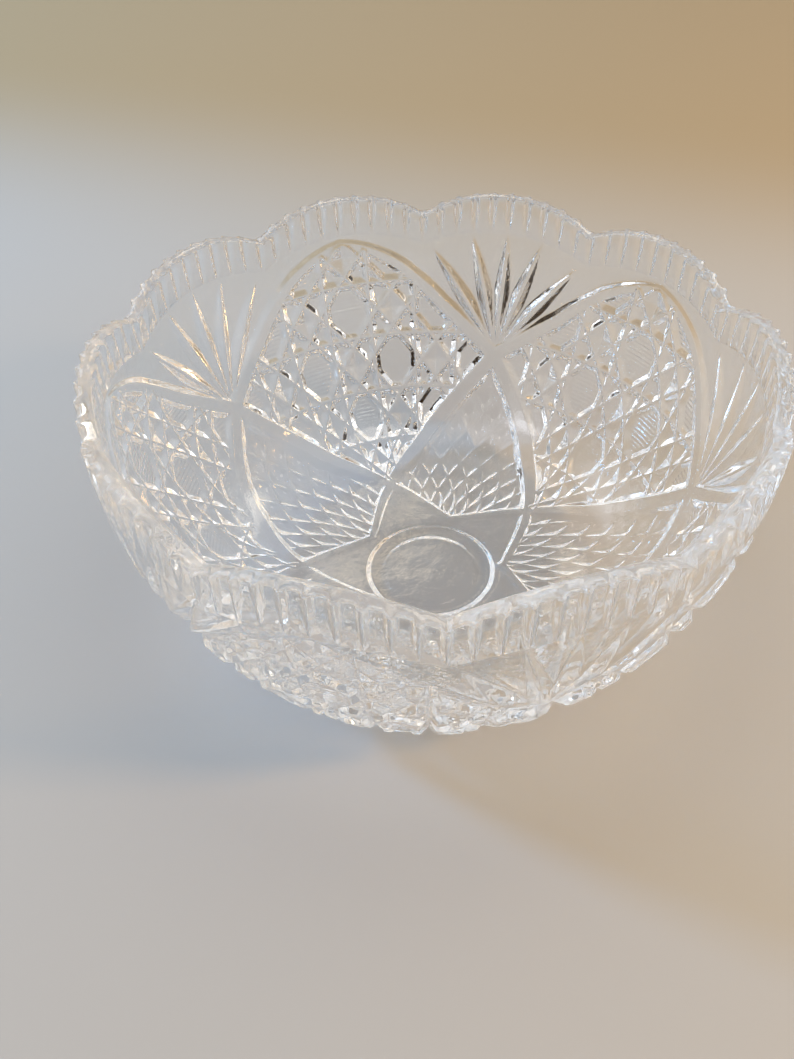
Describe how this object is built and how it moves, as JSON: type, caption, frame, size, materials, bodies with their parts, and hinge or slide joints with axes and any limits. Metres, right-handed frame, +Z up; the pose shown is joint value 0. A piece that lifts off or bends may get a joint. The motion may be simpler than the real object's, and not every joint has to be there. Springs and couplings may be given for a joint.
{
  "type": "glass bowl",
  "caption": "Round scalloped bowl in clear pressed glass with a fluted rim, fans, arched panels and diamond-cut kites, standing on a small round foot.",
  "frame": {"origin": "centre of the foot's flat underside, the surface that the bowl stands on", "axes": "+Z up along the bowl's axis; +Y towards the middle of one fan of leaf cuts, under a crest of the rim"},
  "size_m": [0.202, 0.202, 0.095],
  "materials": {
    "clear_glass": "polished, transparent"
  },
  "bodies": {
    "root": {"bowl": "clear_glass"}
  },
  "joints": []
}
